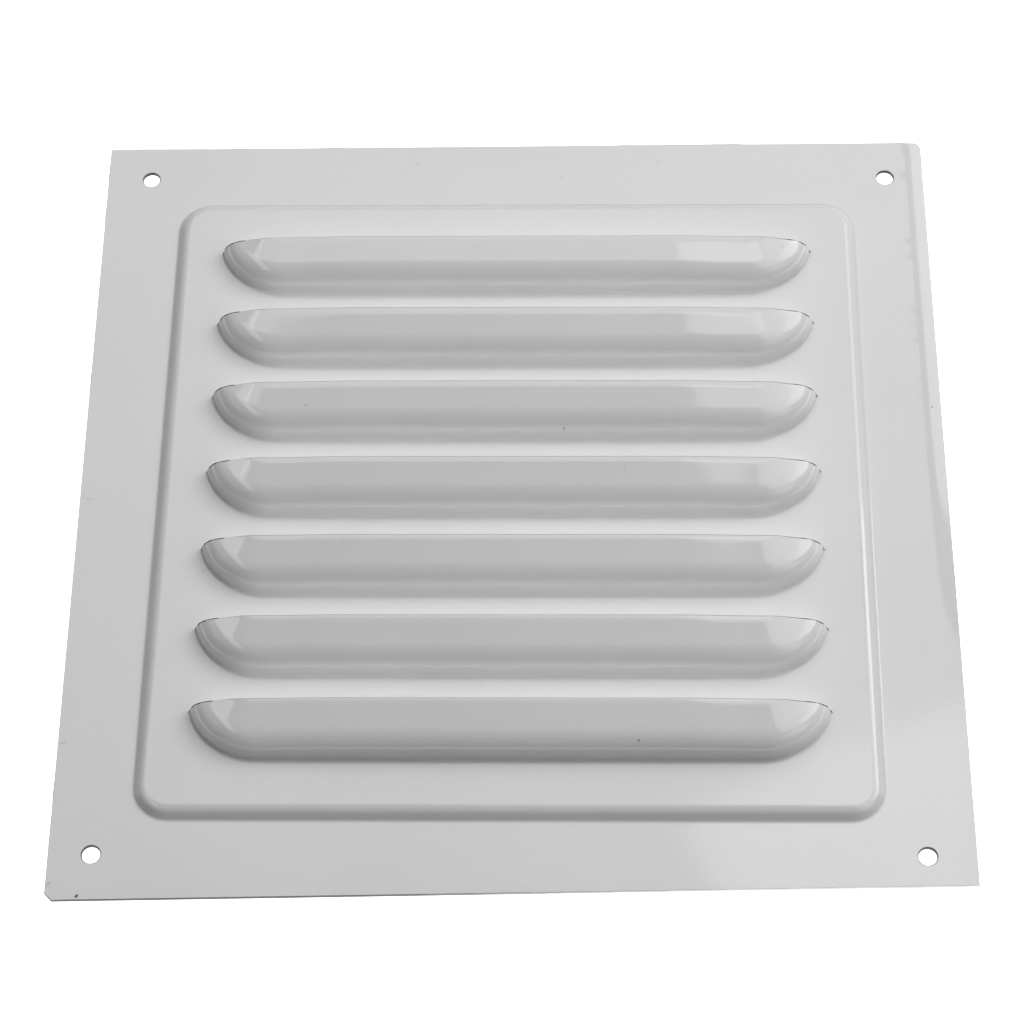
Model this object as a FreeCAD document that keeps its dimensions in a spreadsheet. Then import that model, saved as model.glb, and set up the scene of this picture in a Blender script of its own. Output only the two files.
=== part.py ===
import FreeCAD, Part
import math
import os
import Sketcher

# Louvred sheet metal panel
#
# One square of painted sheet, pressed in one go. A flat flange with four
# screw holes runs round a raised field, and seven louvres are slit and pushed
# up out of that field. The sheet has the same thickness everywhere.
#
# Frame: millimetres, +Z towards the face, +X to the right and +Y up the panel,
# towards the side that the louvre mouths open to. The origin is in the middle
# of the plane that the flange's back lies on.

doc = FreeCAD.newDocument("LouvredPanel")

# Driving dimensions

SIZES = {
    # blank
    "panel_width": 200.0,
    "panel_height": 200.0,
    "sheet_thickness": 1.0,
    "blank_turn": 0.4,
    "lower_edge_slant": 2.6,
    "rounded_corner_radius": 1.8,
    "bent_corner_clip": 1.6,
    # screw holes in the flange
    "hole_inset": 10.0,
    "hole_diameter": 4.0,
    "hole_rim_chamfer": 0.3,
    # raised field, measured at its foot
    "flange_width": 18.0,
    "field_rise": 2.0,
    "field_corner_radius": 8.0,
    "ramp_angle": 45.0,
    "crest_radius": 3.5,
    "foot_radius": 1.0,
    # louvres
    "louvre_count": 7,
    "side_margin": 10.6,
    "top_margin": 15.8,
    "lower_margin": 25.2,
    "louvre_depth": 12.9,
    "end_radius": 16.0,
    "lip_height": 7.5,
    "crown_angle": 10.0,
    "shoulder_radius": 5.5,
    "wall_angle": 75.0,
    "hood_foot_radius": 1.0,
}


# The back of the hood's shoulder is broken into this many flats, and its foot's
# into one, each of them touching the true bend
SHOULDER_FLATS = 2
# Two places within this distance are the same, when edges are looked for
SAME_PLACE = 1e-4
POINTS_PER_EDGE = 5
QUARTER_TURN = 90


def make_sheet():
    """The driving dimensions, then the ones worked out from them."""
    sheet = doc.addObject("Spreadsheet::Sheet", "Sizes")
    row = 1
    for name, value in SIZES.items():
        sheet.set(f"A{row}", name)
        sheet.set(f"B{row}", str(value))
        sheet.setAlias(f"B{row}", name)
        row += 1
    derived = {
        "hole_spacing_x": "=panel_width - 2 * hole_inset",
        "hole_spacing_y": "=panel_height - 2 * hole_inset",
        "field_width": "=panel_width - 2 * flange_width",
        "field_height": "=panel_height - 2 * flange_width",
        "field_top": "=field_rise + sheet_thickness",
        # the ramp's inner face lies one thickness under its outer face
        "ramp_run": "=field_rise / tan(ramp_angle)",
        "recess_inset": "=sheet_thickness * tan(ramp_angle / 2)",
        # how far a flat that touches a bend of the ramp starts from the corner,
        # for a bend of radius one
        "bend_flat": "=tan(ramp_angle / 2) - tan(ramp_angle / 4)",
        # lips are evenly spaced between the margins above and below them
        "first_lip": "=field_height / 2 - top_margin",
        "lip_span": "=field_height - top_margin - lower_margin",
        # each round end turns about an upright line in front of the lip
        "louvre_length": "=field_width - 2 * side_margin",
        "end_setback": "=end_radius - louvre_depth",
        "end_reach": "=sqrt(end_radius * end_radius - end_setback * end_setback)",
        "louvre_straight": "=louvre_length - 2 * end_reach",
    }
    for name, formula in derived.items():
        sheet.set(f"A{row}", name)
        sheet.set(f"B{row}", formula)
        sheet.setAlias(f"B{row}", name)
        row += 1
    doc.recompute()
    return sheet


sizes = make_sheet()


def size(name):
    return float(sizes.get(name))


# Sketch helpers


def origin_feature(body, role):
    return next(f for f in body.Origin.OriginFeatures if f.Role == role)


def new_sketch(body, name, plane, offsets):
    """A sketch on one of the body's own planes, moved by sheet formulas."""
    sketch = body.newObject("Sketcher::SketchObject", name)
    sketch.AttachmentSupport = [(origin_feature(body, plane), "")]
    sketch.MapMode = "FlatFace"
    for direction, formula in offsets.items():
        sketch.setExpression(f"AttachmentOffset.Base.{direction}", formula)
    return sketch


def add_size(sketch, constraint, formula):
    """A constraint whose value follows a formula of the sheet."""
    index = sketch.addConstraint(constraint)
    sketch.setExpression(f"Constraints[{index}]", formula)


def add_line(sketch, start, end, construction=False):
    return sketch.addGeometry(Part.LineSegment(start, end), construction)


def add_closed_outline(sketch, corners):
    """Straight sides from corner to corner, each joined to the next one."""
    sides = []
    for start, end in zip(corners, corners[1:] + corners[:1]):
        sides.append(add_line(sketch, start, end))
    for side, following in zip(sides, sides[1:] + sides[:1]):
        sketch.addConstraint(Sketcher.Constraint("Coincident", side, 2, following, 1))


def rounded_rectangle(sketch, width, height, radius):
    """A rectangle about the sketch's origin with four equal round corners.
    Each argument is a sheet formula."""
    half_w = evaluate(sketch, width) / 2
    half_h = evaluate(sketch, height) / 2
    r = evaluate(sketch, radius)
    centres = [
        (half_w - r, half_h - r),
        (r - half_w, half_h - r),
        (r - half_w, r - half_h),
        (half_w - r, r - half_h),
    ]
    up = FreeCAD.Vector(0, 0, 1)
    arcs = []
    for quarter, (x, y) in enumerate(centres):
        circle = Part.Circle(FreeCAD.Vector(x, y, 0), up, r)
        start = quarter * math.pi / 2
        arc = Part.ArcOfCircle(circle, start, start + math.pi / 2)
        arcs.append(sketch.addGeometry(arc))
    sides = []
    for quarter in range(4):
        start = sketch.getPoint(arcs[quarter], 2)
        end = sketch.getPoint(arcs[(quarter + 1) % 4], 1)
        sides.append(add_line(sketch, start, end))
    for quarter in range(4):
        side = sides[quarter]
        following = arcs[(quarter + 1) % 4]
        sketch.addConstraint(Sketcher.Constraint("Tangent", arcs[quarter], 2, side, 1))
        sketch.addConstraint(Sketcher.Constraint("Tangent", side, 2, following, 1))
        direction = "Horizontal" if quarter % 2 == 0 else "Vertical"
        sketch.addConstraint(Sketcher.Constraint(direction, side))
        if quarter:
            sketch.addConstraint(Sketcher.Constraint("Equal", arcs[0], arcs[quarter]))
    add_size(sketch, Sketcher.Constraint("Radius", arcs[0], r), radius)
    add_size(sketch, Sketcher.Constraint("DistanceX", -1, 1, arcs[0], 1, half_w), f"({width}) / 2")
    add_size(sketch, Sketcher.Constraint("DistanceX", arcs[1], 2, -1, 1, half_w), f"({width}) / 2")
    add_size(sketch, Sketcher.Constraint("DistanceY", -1, 1, arcs[0], 2, half_h), f"({height}) / 2")
    add_size(sketch, Sketcher.Constraint("DistanceY", arcs[2], 2, -1, 1, half_h), f"({height}) / 2")


def evaluate(thing, formula):
    """The number that a sheet formula stands for."""
    return float(thing.evalExpression(formula))


def edges_where(shape, test):
    """The names of the edges whose every sampled point passes the test."""
    names = []
    for number, edge in enumerate(shape.Edges, start=1):
        if all(test(point) for point in edge.discretize(POINTS_PER_EDGE)):
            names.append(f"Edge{number}")
    return names


def near(value, target):
    return abs(value - target) < SAME_PLACE


def turned(x, y):
    """A place on the blank, which lies a little turned to the pressing."""
    turn = math.radians(size("blank_turn"))
    across = x * math.cos(turn) - y * math.sin(turn)
    along = x * math.sin(turn) + y * math.cos(turn)
    return across, along


def dress_edges(body, kind, name, test, value, formula):
    """Works on the edges of the body's last feature that pass the test.
    value is the name of the size that follows the formula."""
    doc.recompute()
    base = body.Tip
    feature = body.newObject(kind, name)
    feature.Base = (base, edges_where(base.Shape, test))
    feature.setExpression(value, formula)


def add_fillet(body, name, test, formula):
    dress_edges(body, "PartDesign::Fillet", name, test, "Radius", formula)


def add_chamfer(body, name, test, formula):
    dress_edges(body, "PartDesign::Chamfer", name, test, "Size", formula)


# The blank and its raised field


def flat_blank(body):
    """The sheared sheet. It is turned a little to the pressing, and its lower
    edge rises a little more to the right."""
    half_w = size("panel_width") / 2
    half_h = size("panel_height") / 2
    slant = size("lower_edge_slant")
    corners = [
        FreeCAD.Vector(-half_w, -half_h, 0),
        FreeCAD.Vector(half_w, slant - half_h, 0),
        FreeCAD.Vector(half_w, half_h, 0),
        FreeCAD.Vector(-half_w, half_h, 0),
    ]
    sketch = new_sketch(body, "BlankOutline", "XY_Plane", {})
    sketch.setExpression("AttachmentOffset.Rotation.Angle", "Sizes.blank_turn * 1 deg")
    add_closed_outline(sketch, corners)
    sketch.addConstraint(Sketcher.Constraint("Vertical", 1))
    sketch.addConstraint(Sketcher.Constraint("Horizontal", 2))
    sketch.addConstraint(Sketcher.Constraint("Vertical", 3))
    half_width = "Sizes.panel_width / 2"
    half_height = "Sizes.panel_height / 2"
    add_size(sketch, Sketcher.Constraint("DistanceX", -1, 1, 1, 1, half_w), half_width)
    add_size(sketch, Sketcher.Constraint("DistanceX", 3, 1, -1, 1, half_w), half_width)
    add_size(sketch, Sketcher.Constraint("DistanceY", -1, 1, 2, 1, half_h), half_height)
    add_size(sketch, Sketcher.Constraint("DistanceY", 0, 1, -1, 1, half_h), half_height)
    add_size(sketch, Sketcher.Constraint("DistanceY", 0, 1, 0, 2, slant), "Sizes.lower_edge_slant")

    pad = body.newObject("PartDesign::Pad", "Blank")
    pad.Profile = sketch
    pad.setExpression("Length", "Sizes.sheet_thickness")

    def at_corner(x, y):
        corner_x, corner_y = turned(x, y)
        return lambda point: near(point.x, corner_x) and near(point.y, corner_y)

    upper_right = at_corner(half_w, half_h)
    lower_left = at_corner(-half_w, -half_h)
    add_fillet(body, "RoundedCorner", upper_right, "Sizes.rounded_corner_radius")
    add_chamfer(body, "BentCorner", lower_left, "Sizes.bent_corner_clip")


def tapered_block(body, kind, name, low, high, foot_inset):
    """A block with round corners whose sides lean in by the ramp's run.
    low and high are its levels; foot_inset draws its foot in from the field's."""
    sections = []
    for part, level, inset in (
        ("Foot", low, foot_inset),
        ("Crest", high, f"{foot_inset} + Sizes.ramp_run"),
    ):
        sketch = new_sketch(body, name + part, "XY_Plane", {"z": level})
        doc.recompute()
        rounded_rectangle(
            sketch,
            f"Sizes.field_width - 2 * ({inset})",
            f"Sizes.field_height - 2 * ({inset})",
            f"Sizes.field_corner_radius - ({inset})",
        )
        sections.append(sketch)
    loft = body.newObject(kind, name)
    loft.Profile = sections[0]
    loft.Sections = [sections[1]]
    loft.Ruled = True
    loft.Closed = False
    return loft


def raised_field(body):
    """The field is pushed up, and the recess behind it follows one thickness
    under its face. Its bends are flats that touch the true bends behind."""
    tapered_block(
        body, "PartDesign::AdditiveLoft", "Field", "Sizes.sheet_thickness", "Sizes.field_top", "0"
    )
    tapered_block(
        body, "PartDesign::SubtractiveLoft", "Recess", "0", "Sizes.field_rise", "Sizes.recess_inset"
    )
    thickness = size("sheet_thickness")
    rise = size("field_rise")
    half_w = size("field_width") / 2
    half_h = size("field_height") / 2

    def inside_field(point):
        return abs(point.x) < half_w + SAME_PLACE and abs(point.y) < half_h + SAME_PLACE

    def at_level(level):
        return lambda point: near(point.z, level) and inside_field(point)

    add_fillet(body, "CrestBend", at_level(rise + thickness), "Sizes.crest_radius")
    add_fillet(body, "FootBend", at_level(thickness), "Sizes.foot_radius")
    behind_crest = "(Sizes.crest_radius - Sizes.sheet_thickness) * Sizes.bend_flat"
    add_chamfer(body, "RecessCrestBend", at_level(rise), behind_crest)
    behind_foot = "(Sizes.foot_radius + Sizes.sheet_thickness) * Sizes.bend_flat"
    add_chamfer(body, "RecessFootBend", at_level(0), behind_foot)


def screw_holes(body):
    """Four punched holes, with the face's rim softened by the paint."""
    sketch = new_sketch(body, "HoleCentres", "XY_Plane", {"z": "Sizes.sheet_thickness"})
    half_x = size("hole_spacing_x") / 2
    half_y = size("hole_spacing_y") / 2
    radius = size("hole_diameter") / 2
    up = FreeCAD.Vector(0, 0, 1)
    for x_sign in (1, -1):
        for y_sign in (1, -1):
            centre = FreeCAD.Vector(x_sign * half_x, y_sign * half_y, 0)
            circle = sketch.addGeometry(Part.Circle(centre, up, radius))
            x_ends = (-1, 1, circle, 3) if x_sign > 0 else (circle, 3, -1, 1)
            y_ends = (-1, 1, circle, 3) if y_sign > 0 else (circle, 3, -1, 1)
            across = Sketcher.Constraint("DistanceX", *x_ends, half_x)
            along = Sketcher.Constraint("DistanceY", *y_ends, half_y)
            add_size(sketch, across, "Sizes.hole_spacing_x / 2")
            add_size(sketch, along, "Sizes.hole_spacing_y / 2")
            bore = Sketcher.Constraint("Diameter", circle, 2 * radius)
            add_size(sketch, bore, "Sizes.hole_diameter")
    holes = body.newObject("PartDesign::Pocket", "ScrewHoles")
    holes.Profile = sketch
    holes.setExpression("Length", "Sizes.sheet_thickness")

    def rim(point):
        away = math.hypot(abs(point.x) - half_x, abs(point.y) - half_y)
        return near(away, radius) and near(point.z, size("sheet_thickness"))

    add_chamfer(body, "HoleRims", rim, "Sizes.hole_rim_chamfer")


# The louvres


def uphill(angle):
    return FreeCAD.Vector(math.cos(angle), math.sin(angle), 0)


def outward(angle):
    """Square to a slope that climbs to the right, away from the metal."""
    return FreeCAD.Vector(-math.sin(angle), math.cos(angle), 0)


def crossing(line, other):
    """Where two lines meet. Each is a point and the angle that it climbs at."""
    (start, angle), (far_start, far_angle) = line, other
    between = far_start - start
    share = between.dot(outward(far_angle)) / uphill(angle).dot(outward(far_angle))
    return start + uphill(angle) * share


def hood_bends(offset):
    """The hood's crown, wall and bends, seen along the panel's width: the lip is
    above the sketch's origin and the foot runs out to its left. The surface lies
    offset under the hood's face, and so does the level that it starts from."""
    crown_angle = math.radians(size("crown_angle"))
    wall_angle = math.radians(size("wall_angle"))
    foot = size("hood_foot_radius") + offset
    shoulder = size("shoulder_radius") - offset
    foot_centre = FreeCAD.Vector(-size("louvre_depth"), foot, 0)
    wall = (foot_centre - outward(wall_angle) * foot, wall_angle)
    lip = size("lip_height") + offset - offset / math.cos(crown_angle)
    crown = (FreeCAD.Vector(0, lip, 0), crown_angle)
    under_crown = (crown[0] - outward(crown_angle) * shoulder, crown_angle)
    behind_wall = (wall[0] - outward(wall_angle) * shoulder, wall_angle)
    return {
        "crown": crown,
        "wall": wall,
        "shoulder": (crossing(under_crown, behind_wall), shoulder),
        "foot": (foot_centre, foot),
    }


def close_section(sketch, foot_end, lip_end):
    """Closes a section below its level. The ends are (geometry, point) pairs."""
    bury = size("sheet_thickness") / 2
    foot_point = sketch.getPoint(*foot_end)
    lip_point = sketch.getPoint(*lip_end)
    foot_under = FreeCAD.Vector(foot_point.x, -bury, 0)
    lip_under = FreeCAD.Vector(0, -bury, 0)
    drop = add_line(sketch, foot_point, foot_under)
    floor = add_line(sketch, foot_under, lip_under)
    front = add_line(sketch, lip_under, lip_point)
    for joint in (
        ("Coincident", *foot_end, drop, 1),
        ("Coincident", drop, 2, floor, 1),
        ("Coincident", floor, 2, front, 1),
        ("Coincident", front, 2, *lip_end),
        ("PointOnObject", *lip_end, -2),
        ("PointOnObject", *foot_end, -1),
        ("Vertical", drop),
        ("Horizontal", floor),
        ("Vertical", front),
    ):
        sketch.addConstraint(Sketcher.Constraint(*joint))
    depth_under = Sketcher.Constraint("DistanceY", drop, 2, drop, 1, bury)
    add_size(sketch, depth_under, "Sizes.sheet_thickness / 2")


def draw_face(sketch):
    """The hood's outer face: straight crown, round shoulder, steep wall and
    round foot."""
    bends = hood_bends(0)
    up = FreeCAD.Vector(0, 0, 1)
    quarter = math.pi / 2
    (lip_point, crown_angle), (wall_foot, wall_angle) = bends["crown"], bends["wall"]
    arcs = []
    for name, start, end in (
        ("shoulder", quarter + crown_angle, quarter + wall_angle),
        ("foot", 3 * quarter, 3 * quarter + wall_angle),
    ):
        circle = Part.Circle(bends[name][0], up, bends[name][1])
        arcs.append(sketch.addGeometry(Part.ArcOfCircle(circle, start, end)))
    shoulder, foot = arcs
    crown = add_line(sketch, sketch.getPoint(shoulder, 1), lip_point)
    wall = add_line(sketch, wall_foot, sketch.getPoint(shoulder, 2))
    for joint in (
        ("Tangent", crown, 1, shoulder, 1),
        ("Tangent", wall, 2, shoulder, 2),
        ("Tangent", wall, 1, foot, 2),
        ("Vertical", foot, 1, foot, 3),
    ):
        sketch.addConstraint(Sketcher.Constraint(*joint))
    close_section(sketch, (foot, 1), (crown, 2))
    for constraint, formula in (
        (("Radius", shoulder, size("shoulder_radius")), "Sizes.shoulder_radius"),
        (("Radius", foot, size("hood_foot_radius")), "Sizes.hood_foot_radius"),
        (("Angle", crown, crown_angle), "Sizes.crown_angle * 1 deg"),
        (("Angle", wall, wall_angle), "Sizes.wall_angle * 1 deg"),
        (("DistanceX", foot, 1, -1, 1, size("louvre_depth")), "Sizes.louvre_depth"),
        (("DistanceY", -1, 1, crown, 2, size("lip_height")), "Sizes.lip_height"),
    ):
        add_size(sketch, Sketcher.Constraint(*constraint), formula)


def draw_back(sketch):
    """The hood's back, one thickness under its face. Flats that touch the two
    true bends stand in for them here, where they are out of sight."""
    thickness = size("sheet_thickness")
    bends = hood_bends(thickness)
    up = FreeCAD.Vector(0, 0, 1)
    (lip_point, crown_angle), (_, wall_angle) = bends["crown"], bends["wall"]
    circles = {}
    for name in ("shoulder", "foot"):
        circle = Part.Circle(bends[name][0], up, bends[name][1])
        circles[name] = sketch.addGeometry(circle, True)

    # slopes from the foot up to the lip, with the bend that each one touches
    slopes = [("foot", -1, wall_angle / 2, "Sizes.wall_angle / 2")]
    slopes.append(("foot", -1, wall_angle, "Sizes.wall_angle"))
    for flat in range(SHOULDER_FLATS, -1, -1):
        share = flat / (SHOULDER_FLATS + 1)
        angle = crown_angle + (wall_angle - crown_angle) * share
        formula = f"Sizes.crown_angle + (Sizes.wall_angle - Sizes.crown_angle) * {share}"
        slopes.append(("shoulder", 1, angle, formula))
    lines = []
    for name, side, angle, _ in slopes:
        centre, radius = bends[name]
        lines.append((centre + outward(angle) * radius * side, angle))
    level = (FreeCAD.Vector(0, 0, 0), 0)
    corners = [crossing(a, b) for a, b in zip([level] + lines, lines)]
    corners.append(lip_point)

    flats = [add_line(sketch, a, b) for a, b in zip(corners, corners[1:])]
    for lower, upper in zip(flats, flats[1:]):
        sketch.addConstraint(Sketcher.Constraint("Coincident", lower, 2, upper, 1))
    for flat, (name, _, angle, formula) in zip(flats, slopes):
        sketch.addConstraint(Sketcher.Constraint("Tangent", flat, circles[name]))
        add_size(sketch, Sketcher.Constraint("Angle", flat, angle), f"({formula}) * 1 deg")
    wall = flats[1]
    sketch.addConstraint(Sketcher.Constraint("Tangent", wall, circles["shoulder"]))
    close_section(sketch, (flats[0], 1), (flats[-1], 2))
    foot_centre, foot_radius = bends["foot"]
    shoulder_radius = bends["shoulder"][1]
    foot, shoulder = circles["foot"], circles["shoulder"]
    under_foot = "Sizes.hood_foot_radius + Sizes.sheet_thickness"
    under_lip = "Sizes.lip_height + Sizes.sheet_thickness * (1 - 1 / cos(Sizes.crown_angle))"
    for constraint, formula in (
        (("Radius", foot, foot_radius), under_foot),
        (("DistanceY", -1, 1, foot, 3, foot_radius), under_foot),
        (("DistanceX", foot, 3, -1, 1, -foot_centre.x), "Sizes.louvre_depth"),
        (("Radius", shoulder, shoulder_radius), "Sizes.shoulder_radius - Sizes.sheet_thickness"),
        (("DistanceY", -1, 1, flats[-1], 2, lip_point.y), under_lip),
    ):
        add_size(sketch, Sketcher.Constraint(*constraint), formula)


def add_turning_axis(sketch):
    """The upright line in front of the lip that a hood's round end turns about."""
    setback = size("end_setback")
    low = FreeCAD.Vector(setback, 0, 0)
    high = FreeCAD.Vector(setback, size("lip_height"), 0)
    line = add_line(sketch, low, high, construction=True)
    sketch.addConstraint(Sketcher.Constraint("PointOnObject", line, 1, -1))
    sketch.addConstraint(Sketcher.Constraint("Vertical", line))
    add_size(sketch, Sketcher.Constraint("DistanceX", -1, 1, line, 1, setback), "Sizes.end_setback")
    height = size("lip_height")
    add_size(sketch, Sketcher.Constraint("DistanceY", line, 1, line, 2, height), "Sizes.lip_height")


def hood_features(body, name, kinds, draw, level):
    """A hood's straight middle and its two round ends, as solids or as cavities.
    Each end is the section turned a quarter, which takes it past the lip."""
    straight_kind, round_kind = kinds

    def hood_section(side, across):
        offsets = {"x": "Sizes.first_lip", "y": level, "z": across}
        sketch = new_sketch(body, name + side + "Section", "YZ_Plane", offsets)
        draw(sketch)
        return sketch

    middle = body.newObject(straight_kind, name + "Middle")
    middle.Profile = hood_section("Middle", "0")
    middle.Midplane = True
    middle.setExpression("Length", "Sizes.louvre_straight")
    made = [middle]
    places = {"Right": "Sizes.louvre_straight / 2", "Left": "-Sizes.louvre_straight / 2"}
    for side, across in places.items():
        section = hood_section(side, across)
        add_turning_axis(section)
        end = body.newObject(round_kind, name + side)
        end.Profile = section
        end.ReferenceAxis = (section, ["Axis0"])
        end.Angle = QUARTER_TURN
        end.Reversed = side == "Left"
        made.append(end)
    return made


def strip_before_lip(body, kind, name, level, thickness):
    """The strip of the field before the first slit, as far as the round ends
    reach past the lip. level is its underside; both are sheet formulas."""
    sketch = new_sketch(body, name + "Outline", "XY_Plane", {"y": "Sizes.first_lip", "z": level})
    half = size("louvre_length") / 2 + size("sheet_thickness")
    reach = size("end_setback") + size("sheet_thickness")
    corners = [
        FreeCAD.Vector(-half, 0, 0),
        FreeCAD.Vector(half, 0, 0),
        FreeCAD.Vector(half, reach, 0),
        FreeCAD.Vector(-half, reach, 0),
    ]
    add_closed_outline(sketch, corners)
    for side in range(4):
        direction = "Vertical" if side % 2 else "Horizontal"
        sketch.addConstraint(Sketcher.Constraint(direction, side))
    half_length = "Sizes.louvre_length / 2 + Sizes.sheet_thickness"
    sketch.addConstraint(Sketcher.Constraint("PointOnObject", 0, 1, -1))
    add_size(sketch, Sketcher.Constraint("DistanceX", 0, 1, -1, 1, half), half_length)
    add_size(sketch, Sketcher.Constraint("DistanceX", -1, 1, 0, 2, half), half_length)
    past_lip = "Sizes.end_setback + Sizes.sheet_thickness"
    add_size(sketch, Sketcher.Constraint("DistanceY", 1, 1, 1, 2, reach), past_lip)
    strip = body.newObject(kind, name)
    strip.Profile = sketch
    strip.setExpression("Length", thickness)
    return strip


def louvres(body):
    """The first louvre, then the rows below it. The hood is pushed up, cut off
    straight at the lip and hollowed, and the field before its slit stays flat."""
    doc.recompute()
    solid_kinds = ("PartDesign::Pad", "PartDesign::Revolution")
    cavity_kinds = ("PartDesign::Pocket", "PartDesign::Groove")
    hood = hood_features(body, "Hood", solid_kinds, draw_face, "Sizes.field_top")
    over_lip = "Sizes.lip_height + Sizes.sheet_thickness"
    mouth = strip_before_lip(body, "PartDesign::Pocket", "Mouth", "Sizes.field_top", over_lip)
    mouth.Reversed = True
    thickness = "Sizes.sheet_thickness"
    cavity = hood_features(body, "Cavity", cavity_kinds, draw_back, "Sizes.field_rise")
    sill = strip_before_lip(body, "PartDesign::Pad", "Sill", "Sizes.field_rise", thickness)
    doc.recompute()
    rows = body.newObject("PartDesign::LinearPattern", "LouvreRows")
    rows.Originals = hood + [mouth] + cavity + [sill]
    rows.Direction = (origin_feature(body, "Y_Axis"), [""])
    rows.Reversed = True
    rows.setExpression("Occurrences", "Sizes.louvre_count")
    rows.setExpression("Length", "Sizes.lip_span")
    body.Tip = rows


def build_panel():
    body = doc.addObject("PartDesign::Body", "Panel")
    body.Label = "louvred_panel"
    flat_blank(body)
    raised_field(body)
    screw_holes(body)
    louvres(body)
    doc.recompute()
    return body


def check(sub_parts):
    """Stops before anything is written if a feature or a solid has failed."""
    for thing in doc.Objects:
        if "Invalid" in thing.State or "Error" in thing.State:
            raise RuntimeError(f"{thing.Label} failed: {thing.State}")
    for part in sub_parts:
        if part.Shape.isNull() or not part.Shape.isValid():
            raise RuntimeError(f"{part.Label} has no valid shape")
        if len(part.Shape.Solids) != 1:
            raise RuntimeError(f"{part.Label} is {len(part.Shape.Solids)} solids")


panel = build_panel()
check([panel])
os.makedirs("parts", exist_ok=True)
panel.Shape.exportStep(f"parts/{panel.Label}.step")
box = panel.Shape.BoundBox
print(f"{panel.Label}: {box.XLength:.2f} x {box.YLength:.2f} x {box.ZLength:.2f} mm")
print(f"volume {panel.Shape.Volume:.1f} mm3, {len(panel.Shape.Faces)} faces")
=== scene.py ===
import math

import bpy
from mathutils import Matrix, Vector
from mathutils.geometry import delaunay_2d_cdt


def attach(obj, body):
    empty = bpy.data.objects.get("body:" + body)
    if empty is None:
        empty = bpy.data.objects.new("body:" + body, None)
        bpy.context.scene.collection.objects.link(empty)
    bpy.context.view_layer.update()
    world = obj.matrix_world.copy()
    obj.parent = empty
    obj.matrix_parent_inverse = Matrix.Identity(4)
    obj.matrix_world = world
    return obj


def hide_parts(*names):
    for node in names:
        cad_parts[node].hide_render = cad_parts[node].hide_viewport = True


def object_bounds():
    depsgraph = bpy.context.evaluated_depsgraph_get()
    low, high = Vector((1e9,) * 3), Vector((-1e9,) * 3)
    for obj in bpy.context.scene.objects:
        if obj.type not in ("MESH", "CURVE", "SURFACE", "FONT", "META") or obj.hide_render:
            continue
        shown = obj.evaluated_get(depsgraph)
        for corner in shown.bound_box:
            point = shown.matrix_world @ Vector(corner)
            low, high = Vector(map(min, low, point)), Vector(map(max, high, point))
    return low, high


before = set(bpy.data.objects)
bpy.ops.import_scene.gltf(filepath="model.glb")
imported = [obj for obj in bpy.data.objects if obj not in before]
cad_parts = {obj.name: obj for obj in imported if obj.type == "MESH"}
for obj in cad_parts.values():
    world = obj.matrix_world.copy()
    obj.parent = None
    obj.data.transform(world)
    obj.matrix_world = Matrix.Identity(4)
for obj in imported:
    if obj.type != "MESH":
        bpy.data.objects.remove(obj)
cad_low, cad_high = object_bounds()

# Louvred sheet metal panel: the looks
#
# The solid is one pressed sheet. Its visible piece is that sheet again, with
# smooth bends, rounder louvre ends, softened cut edges and a glossy powder coat.
# Sizes are in millimetres and in the solid's own frame until the mesh is made.

MM = 0.001
NODE = "louvred_panel"

# Blank
THICKNESS = 1.0
PANEL_WIDTH = 200.0
PANEL_HEIGHT = 200.0
BLANK_TURN = math.radians(0.4)
LOWER_EDGE_SLANT = 2.6
ROUNDED_CORNER_RADIUS = 1.8
BENT_CORNER_CLIP = 1.6

# Screw holes
HOLE_SPACING_X = 180.0
HOLE_SPACING_Y = 180.0
HOLE_RADIUS = 2.0
HOLE_RIM_RADIUS = 0.3

# The shears pulled the flange's right edge down, less and less towards its foot
EDGE_DROP = 0.35
EDGE_DROP_WIDTH = 4.5
EDGE_DROP_STEP = 0.5
EDGE_DROP_FULL = 20.0
EDGE_DROP_END = -45.0

# Raised field, measured at its foot
FIELD_WIDTH = 164.0
FIELD_HEIGHT = 164.0
FIELD_RISE = 2.0
FIELD_CORNER_RADIUS = 8.0
RAMP_ANGLE = math.radians(45)
CREST_RADIUS = 2.8
FOOT_RADIUS = 1.0

# Louvres
LOUVRE_COUNT = 7
LOUVRE_PITCH = 20.5
LOUVRE_LENGTH = 142.0
LOUVRE_DEPTH = 12.5
END_RADIUS = 16.0
LIP_HEIGHT = 7.5
TOP_MARGIN = 15.8
LIP_ROLL_RADIUS = 12.0
# Crown angle, shoulder radius, wall angle and foot radius, in a hood's straight
# middle and at its tips, where the press left the dome rounder
MIDDLE_SECTION = (math.radians(10), 5.5, math.radians(75), 1.0)
TIP_SECTION = (math.radians(14), 6.0, math.radians(78), 0.4)
TIP_BLEND_START = math.radians(20)
TIP_BLEND_END = math.radians(72)
# The crown sinks a little from this far along, by this share of its height
SAG_START = 38.0
SAG_SHARE = 0.06

# Fineness of the mesh
ANGLE_STEP = math.radians(6)
STRAIGHT_STEP = 4.0
HOOD_STEP = 2.5
FLAT_STEP = 5.0
FLAT_CLEARANCE = 1.6
PROFILE_POINTS = 32
LIP_STEP = 0.6
TURN_STEP = math.radians(5)
PLACE_DIGITS = 3
PLACE_TOLERANCE = 1e-7

# Soft cut edges
EDGE_SOFTNESS = 0.12
LIP_SOFTNESS = 0.28
EDGE_SEGMENTS = 2

# Painted shade on cut edges, with their thin coat: the share of the grey kept and
# the roughness added where they are darkest and barest, the reach of the lips and
# holes from the panel's middle, and where the lower edge's painted shade and thin coat start and
# end to fade
EDGE_SHADE_AND_THIN_COAT = "edge_shade_and_thin_coat"
SHADED_EDGE_GREY_SHARE = 0.06
CUT_EDGE_ROUGHNESS = 0.35
LIP_AND_HOLE_REACH = 94.0
DARK_EDGE_START = -40.0
DARK_EDGE_END = 60.0

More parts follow.
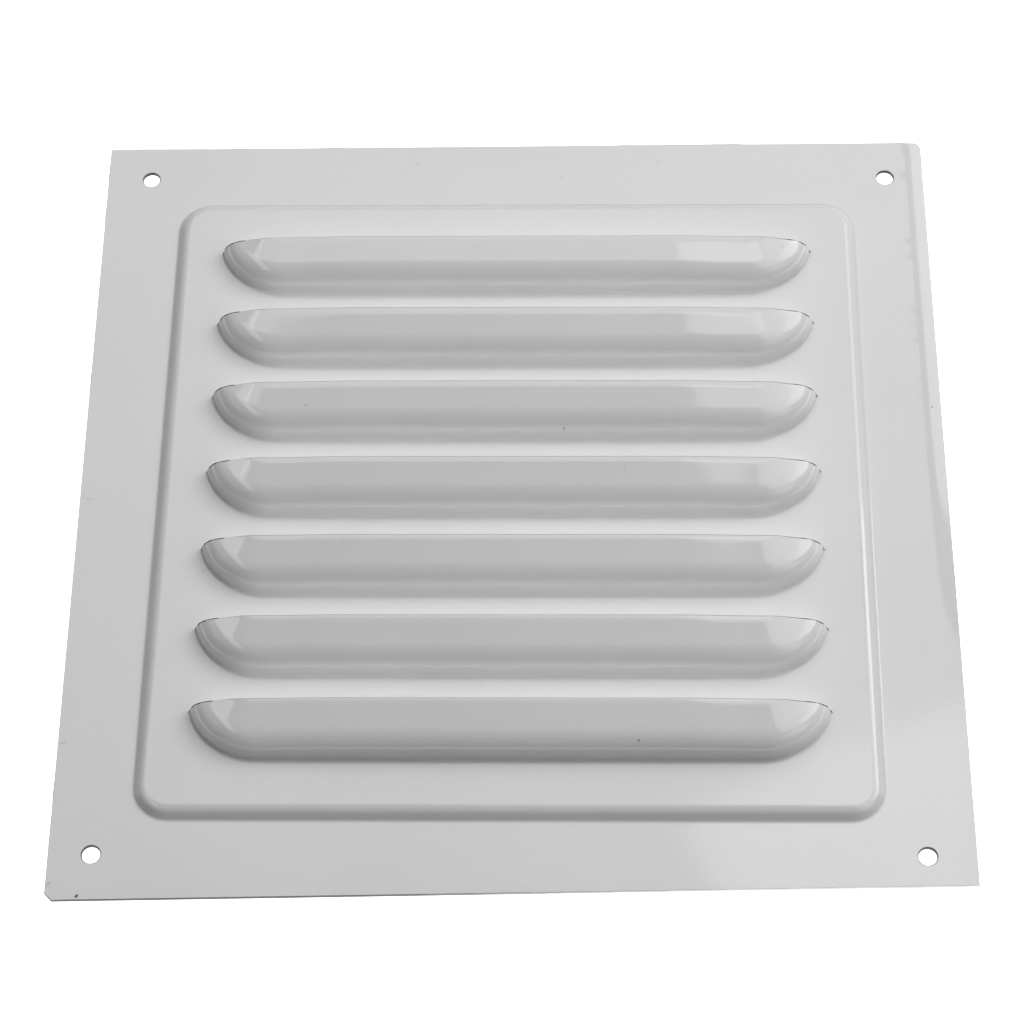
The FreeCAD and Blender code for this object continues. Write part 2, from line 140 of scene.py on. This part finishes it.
# Powder coat: greys and roughness with the size and share of their unevenness
COAT_GREY = 0.7
CLOUD_SIZE = 45.0
CLOUD_SHARE = 0.015
GRAIN_SIZE = 0.8
GRAIN_SHARE = 0.008
COAT_ROUGHNESS = 0.06
GLOSS_SIZE = 30.0
GLOSS_SPREAD = 0.015
WAVE_SIZE = 40.0
WAVE_HEIGHT = 0.04
PEEL_SIZE = 2.2
PEEL_HEIGHT = 0.002
# Most of a noise's values, and where a mark starts and ends to fade
NOISE_LOW, NOISE_HIGH = 0.3, 0.7
MARK_CORE, MARK_RIM = 0.6, 1.4

# Floor. Its side is in metres
FLOOR_SIDE = 6.0
FLOOR_GREY = 0.95
FLOOR_MOTTLE = 0.01
FLOOR_MOTTLE_SIZE = 60.0
FLOOR_ROUGHNESS = 0.9
FLOOR_SPECULAR = 0.2
FLOOR_GLOW = 1.18

# Small marks in the coat: centre, length, width, angle in degrees and depth
COAT_MARKS = (
    (-48.0, 19.1, 0.5, 0.4, 0, 0.5),
    (11.8, 14.5, 0.45, 0.4, 0, 0.45),
    (28.2, -66.1, 0.6, 0.45, 0, 0.5),
    (92.3, -39.7, 0.5, 0.4, 0, 0.25),
    (97.6, 23.7, 0.45, 0.45, 0, 0.5),
    (-81.6, -29.4, 0.4, 0.3, 0, 0.2),
    (-24.5, 94.6, 1.6, 1.4, 0, 0.05),
    (10.8, 90.5, 1.6, 1.4, 0, 0.05),
    (34.6, 94.9, 1.6, 1.4, 0, 0.05),
    (25.7, 1.0, 2.6, 0.2, -78, 0.15),
    (-38.0, -17.0, 1.5, 0.2, -55, 0.18),
    (-44.7, -15.9, 0.5, 0.25, 0, 0.3),
    (-69.9, -21.2, 1.2, 0.2, -10, 0.3),
    (-97.9, -1.0, 2.6, 0.2, -8, 0.22),
    (-98.4, -63.4, 1.6, 0.25, 18, 0.35),
    (-99.6, -97.9, 1.0, 0.6, 40, 0.85),
    (-98.6, -96.9, 1.2, 0.3, 50, 0.35),
    (-92.3, -99.7, 0.9, 0.6, 50, 0.85),
)

# Softboxes that hang level over the panel, all in metres: middle x and y, height,
# length, width, turn in degrees and radiance
SOFTBOXES = {
    "back": (-0.135, 0.73, 1.0, 0.77, 0.84, 0, 1.75),
    "back_far": (0.0, 1.7, 1.0, 1.6, 0.8, 0, 1.2),
    "back_right": (0.88, 0.95, 1.0, 1.04, 0.7, 0, 2.4),
    "back_left": (-1.1, 0.9, 1.0, 0.8, 1.0, 0, 0.4),
    "left": (-0.60, 0.0, 0.99, 0.26, 1.0, 0, 2.2),
    "left_far": (-1.4, 0.0, 1.0, 0.8, 1.2, 0, 0.5),
    "right_near": (0.482, 0.052, 0.98, 0.50, 0.9, 24, 1.9),
    "right": (0.894, 0.234, 0.98, 0.4, 0.9, 24, 3.3),
    "right_far": (1.533, 0.519, 0.98, 1.0, 0.9, 24, 3.8),
    "front_right": (1.3, -0.75, 1.0, 1.2, 0.8, 0, 1.4),
}

# Camera, as the photograph was taken
CAMERA_PLACE = Vector((16.3, -345.8, 587.6))
CAMERA_TILT = math.radians(30.21)
CAMERA_PAN = math.radians(2.76)
CAMERA_ROLL = math.radians(-2.41)
FOCAL_LENGTH_PX = 2959.0
IMAGE_SIDE_PX = 1024
SENSOR_WIDTH = 36.0

UP = Vector((0, 0, 1))


# The sheet

class Sheet:
    """A sheet of metal as points with a place on the face, a place on the back
    and the direction from back to face. Points in the same place are one."""

    def __init__(self):
        self.face = []
        self.back = []
        self.normals = []
        self.polygons = []
        self.known = {}
        self.softness = {}

    def point(self, place, normal=UP, back=None):
        key = tuple(round(value, PLACE_DIGITS) for value in place)
        if key not in self.known:
            self.known[key] = len(self.face)
            self.face.append(Vector(place))
            self.back.append(Vector(back) if back else Vector(place) - normal * THICKNESS)
            self.normals.append(normal.copy())
        return self.known[key]

    def polygon(self, points):
        """Points run counter-clockwise, seen from the face."""
        distinct = [p for i, p in enumerate(points) if p != points[i - 1]]
        if len(distinct) > 2:
            self.polygons.append(distinct)

    def grid(self, rows, closed=False):
        """Quads between neighbouring rows of points."""
        for low, high in zip(rows, rows[1:]):
            count = len(low)
            for i in range(count if closed else count - 1):
                j = (i + 1) % count
                self.polygon([low[i], low[j], high[j], high[i]])

    def cut_edges(self):
        """Pairs of points along every cut edge, with the metal on their left."""
        used = set()
        for polygon in self.polygons:
            used.update(zip(polygon, polygon[1:] + polygon[:1]))
        return [(a, b) for a, b in used if (b, a) not in used]

    def cut_directions(self, edges):
        """Which way each point of a cut edge faces. A slit's end faces nowhere."""
        directions = {}
        for a, b in sorted(edges):
            away = (self.face[b] - self.face[a]).cross(self.normals[a]).normalized()
            for p in (a, b):
                directions[p] = directions.get(p, Vector()) + away
        for p, total in directions.items():
            directions[p] = total.normalized() if total.length > 1 else Vector()
        return directions

    def mesh(self, name):
        """Face, back, and round rims between them along the cut edges."""
        edges = self.cut_edges()
        directions = self.cut_directions(edges)
        places = list(self.face) + list(self.back)
        normals = list(self.normals) + [-normal for normal in self.normals]
        count = len(self.face)
        polygons = list(self.polygons)
        polygons += [[count + p for p in reversed(polygon)] for polygon in self.polygons]
        across = {}
        # How dark each rim point of a cut edge is painted: painted shade together with a thin coat
        shade_and_bare = [0.0] * len(places)
        for p, outward in directions.items():
            rim = self.rim(p, outward)
            places[p], places[count + p] = rim[0][0], rim[-1][0]
            across[p] = [p] + list(range(len(places), len(places) + len(rim) - 2)) + [count + p]
            for place, normal in rim[1:-1]:
                places.append(place)
                normals.append(normal)
                shade_and_bare.append(shade_and_bareness(place))
        for a, b in edges:
            for i in range(len(across[a]) - 1):
                quad = [across[b][i], across[a][i], across[a][i + 1], across[b][i + 1]]
                polygons.append(quad)
        mesh = bpy.data.meshes.new(name)
        mesh.from_pydata([place * MM for place in places], [], polygons)
        mesh.shade_smooth()
        mesh.normals_split_custom_set_from_vertices(normals)
        # Stores the painted shade and thin coat of the cut edges for the coat's colour
        mesh.attributes.new(EDGE_SHADE_AND_THIN_COAT, "FLOAT", "POINT").data.foreach_set("value", shade_and_bare)
        return mesh

    def rim(self, p, outward):
        """Places and normals from the face to the back over a soft cut edge."""
        rim = []
        normal = self.normals[p]
        for corner, side, radius in (
            (self.face[p], normal, self.softness.get(p, EDGE_SOFTNESS)),
            (self.back[p], -normal, EDGE_SOFTNESS),
        ):
            turn = []
            for i in range(EDGE_SEGMENTS + 1):
                angle = math.pi / 2 * i / EDGE_SEGMENTS
                facing = side * math.cos(angle) + outward * math.sin(angle)
                turn.append((corner + (facing - side - outward) * radius, facing))
            rim += turn if side is normal else turn[::-1]
        return rim


def shade_and_bareness(place):
    """How dark a place on a cut edge is painted, as painted shade and a thin coat: 1 on
    the lips, in the holes and on the left of the lower edge, less and less towards its right, and 0
    elsewhere."""
    if max(abs(place.x), abs(place.y)) < LIP_AND_HOLE_REACH:
        return 1.0
    if place.y < -FIELD_HEIGHT / 2:
        return 1 - smooth_share(place.x, DARK_EDGE_START, DARK_EDGE_END)
    return 0.0


def arc(centre, radius, start, end):
    """Points and outward directions along an arc, both ends included."""
    steps = max(2, math.ceil(abs(end - start) / ANGLE_STEP))
    points = []
    for i in range(steps + 1):
        angle = start + (end - start) * i / steps
        direction = Vector((math.cos(angle), math.sin(angle)))
        points.append((Vector(centre) + direction * radius, direction))
    return points


def spread(start, end, step):
    """Evenly spaced numbers from start to end, at most step apart."""
    count = max(1, math.ceil(abs(end - start) / step))
    return [start + (end - start) * i / count for i in range(count + 1)]


# Flat stretches

def inside(place, loop):
    """Whether a place lies inside a closed loop of places."""
    result = False
    for a, b in zip(loop, loop[1:] + loop[:1]):
        if (a.y > place.y) != (b.y > place.y):
            if place.x < a.x + (place.y - a.y) * (b.x - a.x) / (b.y - a.y):
                result = not result
    return result


def clear_of(place, loop):
    return all((place - p).length > FLAT_CLEARANCE for p in loop)


def flat_stretch(sheet, outer, inner_loops, level, extra=()):
    """Triangles between an outer loop and the loops inside it, with extra points."""
    places, edges = [], []
    for loop in [outer] + inner_loops:
        first = len(places)
        places += loop
        edges += [(first + i, first + (i + 1) % len(loop)) for i in range(len(loop))]
    low_x, high_x = min(p.x for p in outer), max(p.x for p in outer)
    low_y, high_y = min(p.y for p in outer), max(p.y for p in outer)
    for x in spread(low_x, high_x, FLAT_STEP)[1:-1]:
        for y in spread(low_y, high_y, FLAT_STEP)[1:-1]:
            place = Vector((x, y))
            if not inside(place, outer) or not clear_of(place, outer):
                continue
            if all(not inside(place, loop) and clear_of(place, loop) for loop in inner_loops):
                places.append(place)
    places += [place for place in extra if inside(place, outer)]
    found, _, triangles, origins, _, _ = delaunay_2d_cdt(places, edges, [], 0, PLACE_TOLERANCE)
    points = []
    for place, origin in zip(found, origins):
        true_place = places[origin[0]] if origin else place
        points.append(sheet.point((true_place.x, true_place.y, level)))
    for triangle in triangles:
        middle = sum((found[i] for i in triangle), Vector((0, 0))) / len(triangle)
        if inside(middle, outer) and not any(inside(middle, loop) for loop in inner_loops):
            sheet.polygon([points[i] for i in triangle])


# Raised field

def rounded_rectangle(inset):
    """The field's outline, drawn in from its foot."""
    radius = FIELD_CORNER_RADIUS - inset
    half_w = FIELD_WIDTH / 2 - FIELD_CORNER_RADIUS
    half_h = FIELD_HEIGHT / 2 - FIELD_CORNER_RADIUS
    corners = [(half_w, half_h), (-half_w, half_h), (-half_w, -half_h), (half_w, -half_h)]
    ring = []
    for quarter, corner in enumerate(corners):
        start = quarter * math.pi / 2
        bend = arc(corner, radius, start, start + math.pi / 2)
        if ring:
            ring += straight_run(ring[-1], bend[0])
        ring += bend
    ring += straight_run(ring[-1], ring[0])
    return ring


def straight_run(start, end):
    """Points between two others, which aren't repeated."""
    (a, direction), (b, _) = start, end
    shares = spread(0, 1, STRAIGHT_STEP / (b - a).length)[1:-1]
    return [(a.lerp(b, share), direction) for share in shares]


def ramp_profile():
    """Inset, level and the normal's lean of the ramp, from the flange to the field."""
    half = math.tan(RAMP_ANGLE / 2)
    run = FIELD_RISE / math.tan(RAMP_ANGLE)
    foot_centre = (-FOOT_RADIUS * half, FOOT_RADIUS)
    crest_centre = (run + CREST_RADIUS * half, FIELD_RISE - CREST_RADIUS)
    foot = arc(foot_centre, FOOT_RADIUS, -math.pi / 2, -math.pi / 2 + RAMP_ANGLE)
    crest = arc(crest_centre, CREST_RADIUS, math.pi / 2 + RAMP_ANGLE, math.pi / 2)
    return [(p, -d) for p, d in foot] + crest


def add_ramp(sheet):
    """The pressed step round the field. Returns its outer and inner loops."""
    rings, loops = [], []
    for (inset, level), (lean, lift) in [(tuple(p), tuple(d)) for p, d in ramp_profile()]:
        outline = rounded_rectangle(inset)
        loops.append([p for p, _ in outline])
        ring = []
        for place, outward in outline:
            normal = Vector((-outward.x * lean, -outward.y * lean, lift))
            ring.append(sheet.point((place.x, place.y, THICKNESS + level), normal))
        rings.append(ring)
    sheet.grid(rings, closed=True)
    return loops[0], loops[-1]


# Louvres

def smooth_share(value, start, end):
    """From 0 at start to 1 at end, without a kink."""
    share = min(1.0, max(0.0, (value - start) / (end - start)))
    return share * share * (3 - 2 * share)


def hood_profile(turn):
    """Distance behind the lip, height over the field and normal, foot to lip, of
    the section that a round end has at a turn."""
    share = smooth_share(abs(turn), TIP_BLEND_START, TIP_BLEND_END)
    section = [a + (b - a) * share for a, b in zip(MIDDLE_SECTION, TIP_SECTION)]
    crown_angle, shoulder, wall_angle, foot = section
    sin_c, cos_c = math.sin(crown_angle), math.cos(crown_angle)
    sin_w, cos_w = math.sin(wall_angle), math.cos(wall_angle)
    roll = LIP_ROLL_RADIUS
    rest_x = LOUVRE_DEPTH - roll * sin_c - shoulder * (sin_w - sin_c) - foot * sin_w
    rest_y = LIP_HEIGHT - roll * (1 - cos_c) - shoulder * (cos_c - cos_w) - foot * (1 - cos_w)
    crown = (rest_x * sin_w - rest_y * cos_w) / (cos_c * sin_w - sin_c * cos_w)
    roll_centre = Vector((0, LIP_HEIGHT - roll))
    crown_end = roll_centre + Vector((sin_c, cos_c)) * roll
    crown_start = crown_end + Vector((cos_c, -sin_c)) * crown
    shoulder_centre = crown_start - Vector((sin_c, cos_c)) * shoulder
    foot_centre = Vector((LOUVRE_DEPTH, foot))
    up = math.pi / 2
    foot_bend = arc(foot_centre, foot, -up, -up - wall_angle)
    shoulder_bend = arc(shoulder_centre, shoulder, up - wall_angle, up - crown_angle)
    lip_roll = arc(roll_centre, roll, up - crown_angle, up)
    return [(p, -d) for p, d in foot_bend] + shoulder_bend + lip_roll


def lengths_along(profile):
    """How far along the profile each of its points is."""
    lengths = [0.0]
    for (a, _), (b, _) in zip(profile, profile[1:]):
        lengths.append(lengths[-1] + (b - a).length)
    return lengths


def place_along(profile, lengths, length):
    """The point and normal a given length along the profile."""
    last = len(lengths) - 2
    i = next((k for k in range(last) if lengths[k + 1] > length), last)
    share = (length - lengths[i]) / (lengths[i + 1] - lengths[i])
    (a, normal_a), (b, normal_b) = profile[i], profile[i + 1]
    return a.lerp(b, share), normal_a.lerp(normal_b, share).normalized()


def length_at_lip(profile, lengths, away):
    """How much of the profile is left, where the lip cuts it off at a distance."""
    away = min(away, profile[0][0].x)
    for i in range(len(profile) - 1):
        far, near = profile[i][0].x, profile[i + 1][0].x
        if near <= away <= far:
            return lengths[i] + (lengths[i + 1] - lengths[i]) * (far - away) / (far - near)
    return lengths[-1]


def end_turns():
    """Angles of a round end's stations, from the middle to the tip."""
    setback = END_RADIUS - LOUVRE_DEPTH
    tip = math.acos(setback / END_RADIUS)
    turns = [0.0]
    while turns[-1] < tip:
        turns.append(turns[-1] + min(TURN_STEP, LIP_STEP * math.cos(turns[-1]) ** 2 / setback))
    return turns[:-1] + [tip]


def hood_row(x, turn):
    """Places and upward directions over a hood, from its foot to its lip."""
    setback = END_RADIUS - LOUVRE_DEPTH
    profile = hood_profile(turn)
    lengths = lengths_along(profile)
    whole = length_at_lip(profile, lengths, setback / math.cos(turn) - setback)
    out = Vector((math.sin(turn), -math.cos(turn), 0))
    lift = 1 - SAG_SHARE * smooth_share(abs(x), SAG_START, half_straight())
    row = []
    for i in range(PROFILE_POINTS + 1):
        place, lean = place_along(profile, lengths, whole * i / PROFILE_POINTS)
        spot = Vector((x, setback, place.y * lift)) + out * (place.x + setback)
        row.append((spot, UP * lean.x * lift - out * lean.y))
    return row


def half_straight():
    """Half the length between a hood's round ends."""
    setback = END_RADIUS - LOUVRE_DEPTH
    return LOUVRE_LENGTH / 2 - math.sqrt(END_RADIUS**2 - setback**2)


def hood_surface():
    """Places and normals over a whole hood, row by row along its length. The
    origin is in the middle of its slit."""
    half = half_straight()
    turns = end_turns()
    stations = [(-half, -turn) for turn in reversed(turns)]
    stations += [(x, 0.0) for x in spread(-half, half, HOOD_STEP)[1:-1]]
    stations += [(half, turn) for turn in turns]
    rows = [hood_row(x, turn) for x, turn in stations]
    surface = []
    for k, row in enumerate(rows):
        before, after = rows[max(0, k - 1)], rows[min(len(rows) - 1, k + 1)]
        points = []
        for i, (spot, upward) in enumerate(row):
            along = after[i][0] - before[i][0]
            points.append((spot, along.cross(upward).normalized()))
        surface.append(points)
    return surface


def add_louvre(sheet, lip_y, surface):
    """One hood. Returns the loop that it and its slit cut out of the field."""
    corner = Vector((0, lip_y, THICKNESS + FIELD_RISE))
    rows = []
    for points in surface:
        row = []
        for place, normal in points:
            spot = corner + place
            back = spot - normal * THICKNESS
            back.y = min(back.y, lip_y)
            row.append(sheet.point(spot, normal, back))
        sheet.softness[row[-1]] = LIP_SOFTNESS
        rows.append(row)
    sheet.grid(rows[::-1])
    loop = [sheet.face[row[0]].xy for row in rows]
    slit = spread(loop[-1].x, loop[0].x, STRAIGHT_STEP)[1:-1]
    return loop + [Vector((x, lip_y)) for x in slit]


# Flange

def blank_outline():
    """The sheared blank, counter-clockwise and a little turned to the pressing."""
    half_w, half_h = PANEL_WIDTH / 2, PANEL_HEIGHT / 2
    clip, radius = BENT_CORNER_CLIP, ROUNDED_CORNER_RADIUS
    slope = LOWER_EDGE_SLANT / PANEL_WIDTH
    bend = arc((half_w - radius, half_h - radius), radius, 0, math.pi / 2)
    corners = [Vector((-half_w + clip, -half_h + clip * slope))]
    corners += [Vector((half_w, -half_h + LOWER_EDGE_SLANT))]
    corners += [place for place, _ in bend]
    corners += [Vector((-half_w, half_h)), Vector((-half_w, -half_h + clip))]
    turn = Matrix.Rotation(BLANK_TURN, 2)
    corners = [turn @ corner for corner in corners]
    outline = []
    for a, b in zip(corners, corners[1:] + corners[:1]):
        outline += [a.lerp(b, share) for share in spread(0, 1, STRAIGHT_STEP / (b - a).length)[:-1]]
    return outline


def right_edge_strip():
    """Rows of points beside the flange's right edge, where it is pulled down."""
    turn = Matrix.Rotation(BLANK_TURN, 2)
    strip = []
    for x in spread(PANEL_WIDTH / 2 - EDGE_DROP_WIDTH, PANEL_WIDTH / 2, EDGE_DROP_STEP)[:-1]:
        for y in spread(-PANEL_HEIGHT / 2, PANEL_HEIGHT / 2, STRAIGHT_STEP)[1:-1]:
            strip.append(turn @ Vector((x, y)))
    return strip


def pull_right_edge_down(sheet):
    back_turn = Matrix.Rotation(-BLANK_TURN, 2)
    across = Matrix.Rotation(BLANK_TURN, 2) @ Vector((1, 0))
    for p, place in enumerate(sheet.face):
        x, y = back_turn @ place.xy
        share = (x - PANEL_WIDTH / 2) / EDGE_DROP_WIDTH + 1
        if share <= 0:
            continue
        drop = EDGE_DROP * smooth_share(y, EDGE_DROP_END, EDGE_DROP_FULL)
        slope = 2 * drop * share / EDGE_DROP_WIDTH
        for side in (sheet.face, sheet.back):
            side[p].z -= drop * share**2
        sheet.normals[p] = (UP + Vector((across.x, across.y, 0)) * slope).normalized()


def hole_outline(centre):
    angles = spread(0, 2 * math.pi, ANGLE_STEP)[:-1]
    return [centre + Vector((math.cos(a), math.sin(a))) * HOLE_RADIUS for a in angles]


def build_sheet():
    sheet = Sheet()
    ramp_outer, ramp_inner = add_ramp(sheet)
    surface = hood_surface()
    first_lip = FIELD_HEIGHT / 2 - TOP_MARGIN
    cuts = [add_louvre(sheet, first_lip - LOUVRE_PITCH * i, surface) for i in range(LOUVRE_COUNT)]
    flat_stretch(sheet, ramp_inner, cuts, THICKNESS + FIELD_RISE)
    holes = []
    for x in (-HOLE_SPACING_X / 2, HOLE_SPACING_X / 2):
        for y in (-HOLE_SPACING_Y / 2, HOLE_SPACING_Y / 2):
            holes.append(hole_outline(Vector((x, y))))
    for place in sum(holes, []):
        sheet.softness[sheet.point((place.x, place.y, THICKNESS))] = HOLE_RIM_RADIUS
    inner_loops = [ramp_outer] + holes
    flat_stretch(sheet, blank_outline(), inner_loops, THICKNESS, right_edge_strip())
    pull_right_edge_down(sheet)
    return sheet


def add_panel():
    panel = bpy.data.objects.new("pressed_sheet", build_sheet().mesh("pressed_sheet"))
    bpy.context.collection.objects.link(panel)
    return panel


# Materials

class Shading:
    """A material's nodes, made one at a time and linked as they are made."""

    def __init__(self, name):
        self.material = bpy.data.materials.new(name)
        self.material.use_nodes = True
        self.tree = self.material.node_tree
        self.shader = self.tree.nodes["Principled BSDF"]

    def add(self, kind, settings=None, inputs=None):
        """A node. An input is a number, a colour or another node's output."""
        node = self.tree.nodes.new(kind)
        for name, value in (settings or {}).items():
            setattr(node, name, value)
        for name, value in (inputs or {}).items():
            self.feed(node.inputs[name], value)
        return node

    def feed(self, socket, value):
        if isinstance(value, bpy.types.NodeSocket):
            self.tree.links.new(value, socket)
        else:
            socket.default_value = value

    def math(self, operation, a, b):
        node = self.add("ShaderNodeMath", {"operation": operation}, {0: a, 1: b})
        return node.outputs[0]

    def place(self):
        """The place on the piece, in metres."""
        return self.add("ShaderNodeTexCoord").outputs["Object"]

    def noise(self, size, detail=2.0):
        """Noise from 0 to 1 whose lumps are about this many millimetres wide."""
        inputs = {"Vector": self.place(), "Scale": 1 / (size * MM), "Detail": detail}
        return self.add("ShaderNodeTexNoise", None, inputs).outputs["Fac"]

    def spread(self, share, low, high):
        """Maps noise onto the range from low to high."""
        inputs = {"Value": share, "From Min": NOISE_LOW, "From Max": NOISE_HIGH}
        inputs.update({"To Min": low, "To Max": high})
        return self.add("ShaderNodeMapRange", None, inputs).outputs["Result"]

    def mark(self, x, y, length, width, angle, depth):
        """How deep a small mark in the coat is at each place."""
        inputs = {
            "Vector": self.place(),
            "Location": (x * MM, y * MM, 0),
            "Rotation": (0, 0, math.radians(angle)),
            "Scale": (length / 2 * MM, width / 2 * MM, 1),
        }
        local = self.add("ShaderNodeMapping", {"vector_type": "TEXTURE"}, inputs)
        away = self.add("ShaderNodeVectorMath", {"operation": "LENGTH"}, {0: local.outputs[0]})
        settings = {"interpolation_type": "SMOOTHSTEP"}
        inputs = {"Value": away.outputs["Value"], "From Min": MARK_CORE, "From Max": MARK_RIM}
        inputs.update({"To Min": depth, "To Max": 0.0})
        return self.add("ShaderNodeMapRange", settings, inputs).outputs["Result"]


def powder_coat():
    """Glossy white powder coat: faint clouds in its colour and gloss, a fine
    orange peel over a slow waviness, small marks, and cut edges darkened with painted shade and a
    thin coat."""
    coat = Shading("powder_coat")
    marks = [coat.mark(*mark) for mark in COAT_MARKS]
    marked = marks[0]
    for mark in marks[1:]:
        marked = coat.math("MAXIMUM", marked, mark)
    cloud_range = (COAT_GREY * (1 - CLOUD_SHARE), COAT_GREY * (1 + CLOUD_SHARE))
    clouds = coat.spread(coat.noise(CLOUD_SIZE), *cloud_range)
    grain = coat.spread(coat.noise(GRAIN_SIZE, 1.0), 1 - GRAIN_SHARE, 1 + GRAIN_SHARE)
    grey = coat.math("MULTIPLY", clouds, grain)
    grey = coat.math("MULTIPLY", grey, coat.math("SUBTRACT", 1.0, marked))
    # Cut edges darkened: painted shade on the lips, in the holes and along the lower edge, together
    # with a thin coat
    shade_and_bare = coat.add("ShaderNodeAttribute", {"attribute_name": EDGE_SHADE_AND_THIN_COAT}).outputs["Fac"]
    edge_darkening = coat.math("MULTIPLY", shade_and_bare, 1 - SHADED_EDGE_GREY_SHARE)
    grey = coat.math("MULTIPLY", grey, coat.math("SUBTRACT", 1.0, edge_darkening))
    colour = coat.add("ShaderNodeCombineColor", None, {"Red": grey, "Green": grey, "Blue": grey})
    coat.feed(coat.shader.inputs["Base Color"], colour.outputs["Color"])
    gloss_range = (COAT_ROUGHNESS - GLOSS_SPREAD, COAT_ROUGHNESS + GLOSS_SPREAD)
    gloss = coat.spread(coat.noise(GLOSS_SIZE), *gloss_range)
    rough = coat.math("ADD", marked, coat.math("MULTIPLY", shade_and_bare, CUT_EDGE_ROUGHNESS))
    coat.feed(coat.shader.inputs["Roughness"], coat.math("ADD", gloss, rough))

    waves = coat.math("MULTIPLY", coat.noise(WAVE_SIZE, 0.0), WAVE_HEIGHT * MM)
    peel = coat.math("MULTIPLY", coat.noise(PEEL_SIZE, 1.0), PEEL_HEIGHT * MM)
    height = coat.math("ADD", waves, peel)
    bump = coat.add("ShaderNodeBump", None, {"Height": height, "Distance": 1.0})
    coat.feed(coat.shader.inputs["Normal"], bump.outputs["Normal"])
    return coat.material


def floor_material():
    """Pale matt paper with a faint mottle, lit from below as on a light table."""
    paper = Shading("pale_floor")
    mottle = paper.noise(FLOOR_MOTTLE_SIZE)
    grey = paper.spread(mottle, FLOOR_GREY - FLOOR_MOTTLE, FLOOR_GREY + FLOOR_MOTTLE)
    colour = paper.add("ShaderNodeCombineColor", None, {"Red": grey, "Green": grey, "Blue": grey})
    paper.feed(paper.shader.inputs["Base Color"], colour.outputs["Color"])
    paper.shader.inputs["Roughness"].default_value = FLOOR_ROUGHNESS
    paper.shader.inputs["Specular IOR Level"].default_value = FLOOR_SPECULAR
    paper.shader.inputs["Emission Color"].default_value = (1, 1, 1, 1)
    paper.shader.inputs["Emission Strength"].default_value = FLOOR_GLOW
    return paper.material


# Stage

def add_floor():
    mesh = bpy.data.meshes.new("floor")
    half = FLOOR_SIDE / 2
    corners = [(-half, -half, 0), (half, -half, 0), (half, half, 0), (-half, half, 0)]
    mesh.from_pydata(corners, [], [(0, 1, 2, 3)])
    floor = bpy.data.objects.new("floor", mesh)
    bpy.context.collection.objects.link(floor)
    floor.location.z = cad_low.z - EDGE_DROP * MM
    mesh.materials.append(floor_material())


def add_softbox(name, x, y, height, length, width, turn, radiance):
    light = bpy.data.lights.new(name, "AREA")
    light.shape = "RECTANGLE"
    light.size, light.size_y = length, width
    light.energy = math.pi * length * width * radiance
    lamp = bpy.data.objects.new(name, light)
    lamp.location = (x, y, height)
    lamp.rotation_euler.z = math.radians(turn)
    lamp.visible_camera = False
    bpy.context.collection.objects.link(lamp)


def add_dark_world():
    """The softboxes and the floor give all the light."""
    world = bpy.data.worlds.new("studio")
    world.use_nodes = True
    world.node_tree.nodes["Background"].inputs["Strength"].default_value = 0.0
    bpy.context.scene.world = world


def add_camera():
    camera = bpy.data.cameras.new("camera")
    camera.sensor_width = SENSOR_WIDTH
    camera.lens = FOCAL_LENGTH_PX / IMAGE_SIDE_PX * SENSOR_WIDTH
    holder = bpy.data.objects.new("camera", camera)
    turn = (
        Matrix.Rotation(CAMERA_PAN, 4, "Z")
        @ Matrix.Rotation(CAMERA_TILT, 4, "X")
        @ Matrix.Rotation(CAMERA_ROLL, 4, "Z")
    )
    holder.matrix_world = Matrix.Translation(CAMERA_PLACE * MM) @ turn
    bpy.context.collection.objects.link(holder)
    bpy.context.scene.camera = holder


panel = add_panel()
panel.data.materials.append(powder_coat())
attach(panel, "root")
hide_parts(NODE)

add_floor()
add_dark_world()
for name, softbox in SOFTBOXES.items():
    add_softbox(name, *softbox)
add_camera()
bpy.context.scene.view_settings.view_transform = "Standard"
